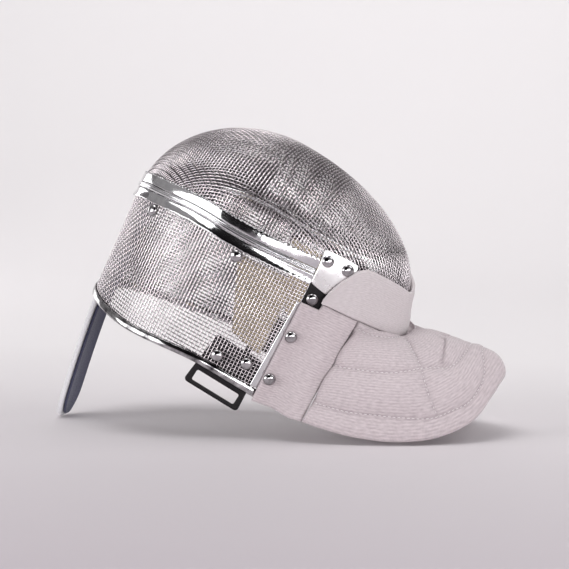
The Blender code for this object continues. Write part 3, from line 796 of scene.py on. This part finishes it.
def bib_normal(angle, share):
    """Outward direction of the lower bib."""
    angle, share = paired(angle, share)
    at_crease = np.abs(np.abs(angle) - CREASE_ANGLE) < 1
    centre = np.where(at_crease, np.sign(angle) * CREASE_ANGLE, angle)
    step = np.where(at_crease, 3.0, 0.5)
    near = np.maximum(centre - step, -58.0)
    far = np.minimum(centre + step, 58.0)
    along = bib_place(far, share) - bib_place(near, share)
    down = bib_place(angle, np.minimum(1.0, share + 0.02)) - bib_place(angle, np.maximum(0.0, share - 0.02))
    normal = unit(np.cross(down, along))
    neck = wall_normal(angle, np.full(angle.shape, -COLLAR_DROP))
    return unit(neck + (normal - neck) * ease(share / 0.12)[..., None])


SEAM_UNDER = ((-1.0, 0.050), (6.0, 0.066), (12.0, 0.095), (18.0, 0.136), (23.0, 0.149), (27.5, 0.133),
              (35.0, 0.066))
SEAM_MIDDLE = ((-1.0, 0.640), (3.0, 0.625), (6.8, 0.588), (9.4, 0.524), (12.7, 0.473), (16.4, 0.484),
               (19.4, 0.503), (26.2, 0.500), (29.8, 0.491), (35.0, 0.455))
SEAM_BORDER = ((-1.0, 0.740), (0.5, 0.740), (1.6, 0.748), (2.5, 0.780), (4.0, 0.840), (5.1, 0.868),
               (6.4, 0.876), (8.8, 0.882), (10.5, 0.868), (13.0, 0.866), (17.0, 0.841), (20.5, 0.833),
               (26.6, 0.840), (35.0, 0.815))
SEAM_CROSS = ((0.06, 10.8), (0.168, 11.3), (0.289, 12.7), (0.379, 12.9), (0.689, 13.4), (0.786, 13.1),
              (0.87, 12.8))
SEAM_REACH = 0.0070
SEAM_SHADE = 0.0011
PADDING = 0.0037
PUCKER = 0.00045
FOLD_DEPTH = 0.0022
FOLD_WIDTH = 0.0045
CREASE_SHADE = 0.0042
FOLD = ((0.385, 1.8), (0.45, 6.2), (0.503, 8.2))


def quilting(angle, share):
    """Height of the padding over its seams, in metres, and the strength of painted shade at each place: along
    the seams, at the crease by the side panels and in the fold.
    """
    size = np.abs(angle)
    length = np.linalg.norm(hem_line(angle) - neck_line(angle), axis=-1)
    wide = np.linalg.norm(bib_place(angle + 0.5, share) - bib_place(angle - 0.5, share), axis=-1)
    gap = np.full(np.shape(angle), 1.0)
    for seam in (SEAM_UNDER, SEAM_MIDDLE, SEAM_BORDER):
        gap = np.minimum(gap, np.abs(share - read_curve(seam, size)) * length)
    cross = np.abs(size - read_curve(SEAM_CROSS, share)) * wide
    cross = cross + 1.0 * ((share < 0.06) | (share > 0.875))
    gap = np.minimum(gap, cross)
    pillow = 1 - np.exp(-gap / SEAM_REACH) * (0.25 + 0.75 * ease(size / 4))
    pucker = np.sin(size * 9.0 + 3 * np.sin(size * 2.1)) * np.exp(-gap / 0.005) * (1 - np.exp(-gap / 0.0012))
    fold_line = np.abs(size - read_curve(FOLD, share)) * wide
    fold = np.exp(-((fold_line / FOLD_WIDTH) ** 2)) * ((share > 0.30) & (share < 0.60))
    fold = fold * ease((share - 0.30) / 0.08) * ease((0.60 - share) / 0.08)
    slack = 0.00022 * np.sin(size * 1.3 + share * 9) + 0.00018 * np.sin(size * 2.9 - share * 23)
    crease = np.exp(-((np.abs(size - CREASE_ANGLE) * wide / CREASE_SHADE) ** 2))
    crease = 0.95 * crease * ease((share - 0.06) / 0.1) * ease((0.95 - share) / 0.25)
    # Painted shade: the cloth's colour is darkened along the seams, at the crease by the side panels and in
    # the fold.
    shade = np.maximum(np.maximum(0.45 * np.exp(-gap / SEAM_SHADE), crease), 0.35 * fold)
    return PADDING * pillow + PUCKER * pucker - FOLD_DEPTH * fold + slack * pillow, shade


def cloth_shell(name, columns, rows, place, thickness, length, width, material, replaced):
    """Padded cloth with rolled edges; place gives a point, its outward direction and its padding, or its
    padding paired with the strength of painted shade.
    """
    mesh = bmesh.new()
    weave = mesh.loops.layers.uv.new("weave")
    # The seam layer carries the strength of painted shade for the cloth's colour.
    seam = mesh.verts.layers.float.new("seam")
    for side in (1.0, -1.0):
        corners, along, across = grid_of(mesh, columns, rows)
        along = 0.5 * (along + crowded(along))
        across = 0.5 * (across + crowded(across))
        rim = edge_distance(along, across, length, width)
        full = edge_round(rim, thickness / 2)
        point, normal, padding = place(along, across)
        padding, painted_shade = padding if isinstance(padding, tuple) else (padding, 0 * along)
        lift = thickness / 2 * (1 + side * full) + (padding * edge_round(rim, 0.006) if side > 0 else 0)
        settle(corners, point + normal * lift[:, None])
        for corner, a, b, c in zip(corners, along, across, painted_shade):
            corner[seam] = c
            for loop in corner.link_loops:
                loop[weave].uv = (a * length, b * width)
    return finish(name, mesh, material, replaced)


THREAD_PITCH = 0.0009


def woven_cloth(name, light, dark, rib):
    """Plain canvas: ribs of thread on the piece's own weave map, with slubs, and painted shade in seams and
    creases read from the seam attribute.
    """
    made, tree, shader = start_material(
        name, Roughness=0.9, Sheen_Weight=0.25, Sheen_Roughness=0.5, Specular_IOR_Level=0.2)
    weave_map = tree.nodes.new("ShaderNodeUVMap")
    weave_map.uv_map = "weave"
    parts = tree.nodes.new("ShaderNodeSeparateXYZ")
    tree.links.new(weave_map.outputs["UV"], parts.inputs["Vector"])
    stretch = tree.nodes.new("ShaderNodeMapping")
    stretch.inputs["Scale"].default_value = (240.0, 800.0, 1.0)
    tree.links.new(weave_map.outputs["UV"], stretch.inputs["Vector"])
    slubs = tree.nodes.new("ShaderNodeTexNoise")
    slubs.inputs["Scale"].default_value = 1.0
    slubs.inputs["Detail"].default_value = 3.0
    tree.links.new(stretch.outputs["Vector"], slubs.inputs["Vector"])
    height = slubs.outputs["Fac"]
    for axis, pitch, amount in (("Y", rib, 0.10), ("X", THREAD_PITCH, 0.08)):
        turn, wave, total = (tree.nodes.new("ShaderNodeMath") for _ in range(3))
        turn.operation, wave.operation, total.operation = "MULTIPLY", "SINE", "MULTIPLY_ADD"
        turn.inputs[1].default_value = 2 * math.pi / pitch
        tree.links.new(parts.outputs[axis], turn.inputs[0])
        tree.links.new(turn.outputs["Value"], wave.inputs[0])
        total.inputs[1].default_value = amount
        tree.links.new(wave.outputs["Value"], total.inputs[0])
        tree.links.new(height, total.inputs[2])
        height = total.outputs["Value"]
    # Painted shade: the seam attribute darkens the colour towards this tone in seams, creases and the fold.
    painted_shade_mask = tree.nodes.new("ShaderNodeAttribute")
    painted_shade_mask.attribute_name = "seam"
    shaded = tree.nodes.new("ShaderNodeMixRGB")
    shaded.blend_type = "MULTIPLY"
    shaded.inputs["Color2"].default_value = (0.50, 0.47, 0.485, 1)
    tree.links.new(painted_shade_mask.outputs["Fac"], shaded.inputs["Fac"])
    tree.links.new(add_ramp(tree, height, 0.25, dark, 0.75, light), shaded.inputs["Color1"])
    tree.links.new(shaded.outputs["Color"], shader.inputs["Base Color"])
    add_bump(tree, height, 0.6, 0.0004)
    return made


BIB_CANVAS = woven_cloth("bib canvas", (0.590, 0.520, 0.540), (0.420, 0.362, 0.381), 0.0022)
COLLAR_CANVAS = woven_cloth("collar canvas", (0.63, 0.575, 0.59), (0.52, 0.47, 0.483), 0.0016)


def flap_place(along, across):
    """Flap from crease to crease, collar to hem."""
    angle = 34.8 - 69.6 * along
    return bib_place(angle, across), bib_normal(angle, across), quilting(angle, across)


flap = cloth_shell("flap", 260, 150, flap_place, BIB_CLOTH, 0.34, 0.10, BIB_CANVAS,
                   ("bib_flap",))


PANEL_RIVETS = (("panel_upper", 0.36), ("panel_lower", 0.765))
PANEL_RIVET_ANGLE = 55.4
PINCH = 0.0065


def panel_place(sign):
    """Side panel, from its riveted rear edge to the crease."""
    def place(along, across):
        angle = sign * (57.6 + (35.2 - 57.6) * along)
        length = band_level(angle) - COLLAR_DROP - hem_line(angle)[..., 2]
        start = (TAB_DROP + TAB_LENGTH - 5 * GAP - COLLAR_DROP) / length
        start = start * ease((np.abs(angle) - 49.9) / 0.5)
        share = start + (1 - start) * across
        soft = 0.0011 + 0.0003 * np.sin(along * 9 + across * 5) * np.sin(across * 14)
        pinch = 0.0
        for _name, rivet_share in PANEL_RIVETS:
            away = ((np.abs(angle) - PANEL_RIVET_ANGLE) * 0.0021) ** 2 + ((share - rivet_share) * length) ** 2
            pinch = pinch + np.exp(-away / PINCH**2)
        return bib_place(angle, share), bib_normal(angle, share), soft * (1 - np.clip(pinch, 0, 1))
    return place


for sign, side in ((1, "left"), (-1, "right")):
    panel = cloth_shell("side_panel_" + side, 80, 150, panel_place(sign), BIB_CLOTH, 0.05, 0.10, BIB_CANVAS,
                        ("bib_side_panel_" + side,))
    for name, share in PANEL_RIVETS:
        spot = np.array(sign * PANEL_RIVET_ANGLE)
        normal = bib_normal(spot, np.array(share))
        rivet_head(name + "_" + side, bib_place(spot, share) + normal * (BIB_CLOTH + 3 * GAP), normal)

COLLAR_END = 51.1
COLLAR_EDGE = ((0.0, 0.75), (5.0, 0.78), (10.0, 0.85), (15.0, 0.92), (20.0, 0.96), (25.0, 0.99), (30.0, 1.0),
               (35.0, 0.985), (39.0, 0.93), (42.5, 0.74), (45.5, 0.42), (48.5, -0.10), (50.2, -0.60),
               (51.1, -0.94))


def collar_place(along, across):
    """Collar round the chin, from its lower seam to its upper edge."""
    angle = COLLAR_END * (1 - 2 * along)
    size = np.abs(angle)
    top = COLLAR_RISE * read_curve(COLLAR_EDGE, size)
    low = -COLLAR_DROP + GAP
    height = low + (top - low) * across
    flare = COLLAR_FLARE * np.cos(np.radians(np.minimum(90, size * 1.5)))
    lean = flare * ease((COLLAR_RISE / 2 - height) / (COLLAR_RISE / 2 + COLLAR_DROP))
    soft = 0.0006 + 0.00022 * np.sin(angle * 0.8 + across * 4)
    return *beside_wall(angle, height, bib_clearance(angle) + lean), soft


collar = cloth_shell("collar", 240, 60, collar_place, BIB_CLOTH, 0.25, 0.042, COLLAR_CANVAS,
                     ("bib_collar",))


def stitch_line(spots, normals):
    """Short threads along a seam, each dipping into the cloth at its ends."""
    run = run_along(spots)
    threads = []
    start = STITCH_SPACE
    while start + STITCH_LENGTH < run[-1]:
        marks = start + STITCH_LENGTH * np.array((0.0, 0.2, 0.5, 0.8, 1.0))
        lifts = STITCH_RISE * np.array((-1.2, 0.5, 1.0, 0.5, -1.2))
        threads.append(at_marks(marks, run, spots) + at_marks(marks, run, normals) * lifts[:, None])
        start += STITCH_LENGTH + STITCH_SPACE
    return threads


STITCH_LENGTH = 0.0027
STITCH_SPACE = 0.0014
STITCH_RADIUS = 0.00028
STITCH_RISE = 0.00035
threads = []
for sign in (1, -1):
    rows = []
    for seam in (SEAM_UNDER, SEAM_MIDDLE, SEAM_BORDER):
        angle = np.linspace(0.0, 34.2, 160)
        rows.append((sign * angle, read_curve(seam, angle)))
    share = np.linspace(0.10, 0.86, 120)
    rows.append((sign * read_curve(SEAM_CROSS, share), share))
    for angle, share in rows:
        normal = bib_normal(angle, share)
        lift = BIB_CLOTH + quilting(angle, share)[0]
        threads += stitch_line(bib_place(angle, share) + normal * lift[:, None], normal)
THREAD = woven_cloth("pale thread", (0.80, 0.76, 0.775), (0.70, 0.66, 0.675), 0.001)
stitches = lay_wires("flap_stitches", threads, STITCH_RADIUS)
stitches.data.materials.append(THREAD)

# Tongue: a spring strip in a padded cover, fixed inside the crown and hanging down at the
# back of the head. Its outer cover is pale and shows as a border round the navy face.
TONGUE_WIDTH = 0.046
TONGUE_LAYER = 0.0026
TONGUE_LENGTH = 0.1245
TONGUE_BEND = 0.0105
COVER_PUFF = 0.0030


def tongue_place(inside, width, last):
    """One cover of the tongue; across its width, then down its length."""
    def place(along, across):
        rim_drop = float(rim_level(180.0) - band_level(180.0))
        start = -BEAD_HEIGHT / 2 - FLANGE_WIDTH - GAP
        length = rim_drop - TONGUE_LENGTH - start
        share = across * last
        end = np.maximum(0.0, (across - 0.88) / 0.12)
        half = TONGUE_WIDTH / 2 * width * np.sqrt(np.maximum(0.02, 1 - end * end)) * (1.0 - 0.10 * across)
        height = start + length * share
        reach = (2 * along - 1) * half
        angle = 180 - np.degrees(np.arcsin(reach / DOME_HALF_WIDTH))
        past = np.maximum(0.0, (height - rim_drop) / (start + length - rim_drop))
        point = off_wall(angle, height, inside)
        point[..., 0] += TONGUE_BEND * past**1.5
        round_off = np.sqrt(np.clip(1 - (2 * along - 1) ** 2, 0, 1)) ** 0.5
        return point, wall_normal(angle, height), COVER_PUFF * np.clip((width - 0.9) * 10, 0, 1) * round_off
    return place


NAVY = woven_cloth("navy cloth", (0.085, 0.088, 0.145), (0.050, 0.052, 0.095), 0.0012)
COVER = woven_cloth("pale cover cloth", (0.72, 0.71, 0.73), (0.62, 0.61, 0.64), 0.0012)
tongue_clear = MESH_WALL / 2 + GAP + CHANNEL_WALL + GAP
tongue_back = cloth_shell("tongue_cover", 30, 150, tongue_place(-tongue_clear - TONGUE_LAYER, 1.0, 0.998),
                          TONGUE_LAYER, 0.046, 0.22, COVER, ("tongue_back",))
tongue_face = cloth_shell("tongue_lining", 30, 150,
                          tongue_place(-tongue_clear - 2 * TONGUE_LAYER - GAP, 0.84, 0.983),
                          TONGUE_LAYER, 0.039, 0.215, NAVY, ("tongue_face",))

# Strap loops: pressed plates in black enamel, riveted inside the crown's wire cloth, with
# a long slot below the rim that takes the back strap.
LOOP_LENGTH = 0.054
LOOP_PLATE = 0.0026
LOOP_BAR = 0.0038
LOOP_DROP = 0.0203
SLOT_LENGTH = 0.0425
SLOT_HEIGHT = 0.0105


def rounded_loop(mesh, low_half, low, high_half, high, radius):
    """Closed line of edges round a plate or slot, from its half widths at two levels, with round corners."""
    spots = []
    for cx, cy, start in (
            (low_half - radius, low - radius, 0), (-low_half + radius, low - radius, 90),
            (-high_half + radius, high + radius, 180), (high_half - radius, high + radius, 270)):
        for k in range(7):
            turn = math.radians(start + 90 * k / 6)
            spots.append(mesh.verts.new((cx + radius * math.cos(turn), cy + radius * math.sin(turn), 0)))
    return [mesh.edges.new((a, b)) for a, b in zip(spots, spots[1:] + spots[:1])]


def strap_loop(sign, side):
    """Flat plate with rounded corners and a slot."""
    angle = sign * 70.0
    centre = wall_point(angle, LOOP_RIM)
    normal = wall_normal(np.array(angle), np.array(LOOP_RIM))
    normal[2] = 0
    normal /= np.linalg.norm(normal)
    along = np.array((abs(normal[1]), -sign * abs(normal[0]), 0))
    lean = math.radians(5.5)
    down = np.array((0, 0, -1.0))
    right = along * math.cos(lean) + down * math.sin(lean)
    foot = along * -math.sin(lean) + down * math.cos(lean)
    spread = sign * np.linspace(54, 86, 33)
    away = wall_point(spread, np.full(33, LOOP_RIM)) - centre
    held = np.abs(away @ along) <= LOOP_LENGTH / 2
    bow = max(0.0, float(np.max(np.where(held, -(away @ normal), 0))))
    clear = MESH_WALL / 2 + 2 * GAP + CHANNEL_WALL + bow
    half = LOOP_LENGTH / 2
    low = LOOP_DROP - LOOP_BAR
    mesh = bmesh.new()
    rim_edges = rounded_loop(mesh, half, LOOP_DROP, half * 0.86, -LOOP_RISE, LOOP_BAR * 0.9)
    slot_edges = rounded_loop(mesh, SLOT_LENGTH / 2, low, SLOT_LENGTH / 2, low - SLOT_HEIGHT,
                              SLOT_HEIGHT * 0.16)
    bmesh.ops.bridge_loops(mesh, edges=rim_edges + slot_edges)
    front = list(mesh.faces)
    lifted = bmesh.ops.extrude_face_region(mesh, geom=front)["geom"]
    lifted = [v for v in lifted if isinstance(v, bmesh.types.BMVert)]
    bmesh.ops.translate(mesh, verts=lifted, vec=(0, 0, LOOP_PLATE))
    bmesh.ops.recalc_face_normals(mesh, faces=mesh.faces)
    sharp = [e for e in mesh.edges if len(e.link_faces) == 2 and e.calc_face_angle(0) > 1.2]
    bmesh.ops.bevel(mesh, geom=sharp, offset=0.0006, segments=3, affect="EDGES", profile=0.5, material=-1)
    spots = np.array([v.co for v in mesh.verts])
    points = centre - normal * (clear + spots[:, 2:]) + right * spots[:, :1] + foot * spots[:, 1:2]
    settle(mesh.verts, points)
    return finish("strap_plate_" + side, mesh, BLACK, ("strap_loop_" + side,))


for sign, side in ((1, "left"), (-1, "right")):
    strap_loop(sign, side)

# Inner pads: a beige pad inside each cheek and a dark one across the forehead, of foam in
# brushed cloth, held against the wire cloth.
PAD_DEPTH = 0.006


def cheek_place(sign):
    """Cheek pad, back to front, then down."""
    def place(along, across):
        rear = 84 - 10 * across
        angle = sign * (rear + (61.5 - rear) * along)
        height = -CROWN_DEPTH * (0.13 + (0.525 + 0.074 * along) * across)
        soft = 0.0004 * np.sin(along * 8 + across * 6)
        return off_wall(angle, height, -MESH_WALL / 2 - 2 * GAP), -wall_normal(angle, height), soft
    return place


def forehead_place(along, across):
    """Forehead pad across the inside of the dome's rear."""
    angle = 104 + 152 * along
    height = DOME_TOP * (0.054 + 0.512 * across)
    return off_wall(angle, height, -MESH_WALL / 2 - 2 * GAP), -wall_normal(angle, height), 0 * along


NAP = {"Roughness": 0.95, "Sheen_Weight": 0.3}
BEIGE = grained("beige pad cloth", 420.0, 5.0, 0.3, (0.76, 0.62, 0.44), 0.7, (0.90, 0.745, 0.545),
                (0.5, 0.0006), **NAP)
DARK = grained("dark pad cloth", 420.0, 5.0, 0.3, (0.02, 0.018, 0.02), 0.7, (0.05, 0.045, 0.05),
               (0.5, 0.0006), **NAP)
for sign, side in ((1, "left"), (-1, "right")):
    cheek = cloth_shell("cheek_cushion_" + side, 36, 60, cheek_place(sign), PAD_DEPTH, 0.04, 0.07, BEIGE,
                        ("cheek_pad_" + side,))
brow = cloth_shell("brow_cushion", 120, 40, forehead_place, PAD_DEPTH, 0.20, 0.045, DARK,
                   ("forehead_pad",))

# Floor and light: a pale paper sweep that rises far behind the mask, in a studio with large
# soft lights round the mask and one on the paper, and a dark end behind the photographer.
SWEEP_START = 1.3
SWEEP_RADIUS = 1.6
sweep = bmesh.new()
corners, across, back = grid_of(sweep, 8, 120)
run = -7.0 + (7.0 + SWEEP_START + SWEEP_RADIUS * math.pi / 2 + 4.0) * back
turn = np.clip((run - SWEEP_START) / SWEEP_RADIUS, 0, math.pi / 2)
flat = np.minimum(run, SWEEP_START)
climb = np.maximum(0, run - SWEEP_START - SWEEP_RADIUS * math.pi / 2)
level = SWEEP_RADIUS * (1 - np.cos(turn)) + climb
for corner, x, y, z in zip(corners, (across - 0.5) * 16, flat + SWEEP_RADIUS * np.sin(turn), level):
    corner.co = (x, y, z)
for face in sweep.faces:
    face.smooth = True
paper_mesh = bpy.data.meshes.new("paper_sweep")
sweep.to_mesh(paper_mesh)
sweep.free()
backdrop = bpy.data.objects.new("paper_sweep", paper_mesh)
bpy.context.collection.objects.link(backdrop)
paper, tree, shader = start_material("pale paper", Roughness=0.7)
spot = tree.nodes.new("ShaderNodeTexCoord")
parts = tree.nodes.new("ShaderNodeSeparateXYZ")
tree.links.new(spot.outputs["Object"], parts.inputs["Vector"])
# Painted shade: the paper's colour darkens and warms towards the camera, standing for light falling off in
# front of the mask.
depth = add_range(tree, parts.outputs["Y"], (-0.8, 0.5), side="From")
painted_floor_shade = add_ramp(tree, depth, 0.0, (0.50, 0.448, 0.487), 1.0, (0.80, 0.775, 0.785))
tree.links.new(painted_floor_shade, shader.inputs["Base Color"])
paper_mesh.materials.append(paper)

room = bpy.data.worlds.new("studio room")
bpy.context.scene.world = room
room.use_nodes = True
tree = room.node_tree
direction = tree.nodes.new("ShaderNodeTexCoord")
dark_end = tree.nodes.new("ShaderNodeVectorMath")
dark_end.operation = "DOT_PRODUCT"
dark_end.inputs[1].default_value = (0.09, -0.94, 0.33)
tree.links.new(direction.outputs["Generated"], dark_end.inputs[0])
shade = add_ramp(tree, dark_end.outputs["Value"], 0.76, (0.28, 0.272, 0.277),
                 0.90, (0.006, 0.005, 0.006))
tree.links.new(shade, tree.nodes["Background"].inputs["Color"])
tree.nodes["Background"].inputs["Strength"].default_value = 1.0


def soft_box(name, where, aim, width, height, power, spread=180):
    """Rectangular studio light."""
    lamp = bpy.data.lights.new(name, "AREA")
    lamp.shape = "RECTANGLE"
    lamp.size = width
    lamp.size_y = height
    lamp.energy = power
    holder = bpy.data.objects.new(name, lamp)
    holder.location = where
    holder.rotation_euler = (Vector(aim) - Vector(where)).to_track_quat("-Z", "Y").to_euler()
    holder.visible_camera = False
    lamp.spread = math.radians(spread)
    bpy.context.collection.objects.link(holder)


soft_box("light_over", (-0.15, -0.25, 1.7), (0, 0, 0.1), 1.0, 0.7, 9)
soft_box("light_left", (-1.20, -1.15, 0.42), (0, 0, 0.12), 1.5, 0.8, 16)
soft_box("light_right", (1.25, -1.15, 0.17), (0, 0, 0.12), 0.9, 0.6, 14)
soft_box("light_high", (1.30, 0.15, 1.20), (0, 0, 0.12), 1.3, 1.0, 9)
soft_box("light_low", (0.42, -1.55, 0.09), (0, 0, 0.12), 0.80, 0.17, 3.0)
soft_box("light_back", (-1.50, 0.90, 0.40), (0, 0, 0.14), 0.8, 0.6, 4)
soft_box("light_paper", (-0.7, 0.95, 2.8), (-0.7, 2.8, 1.2), 3.6, 0.8, 46, 150)
bpy.context.scene.view_settings.view_transform = "Standard"

# Camera: just above the floor, seen from the mask's right side and a little from the bib.
AZIMUTH = math.radians(15.0)
ELEVATION = math.radians(5.5)
DISTANCE = 2.2
aim = Vector((0.006, 0.0, 0.127))
away = Vector((math.sin(AZIMUTH) * math.cos(ELEVATION), -math.cos(AZIMUTH) * math.cos(ELEVATION),
               math.sin(ELEVATION)))
lens = bpy.data.cameras.new("photo_camera")
lens.lens = 155.2
lens.sensor_width = 36.0
viewer = bpy.data.objects.new("photo_camera", lens)
viewer.location = aim + away * DISTANCE
viewer.rotation_euler = (-away).to_track_quat("-Z", "Y").to_euler()
bpy.context.collection.objects.link(viewer)
bpy.context.scene.camera = viewer
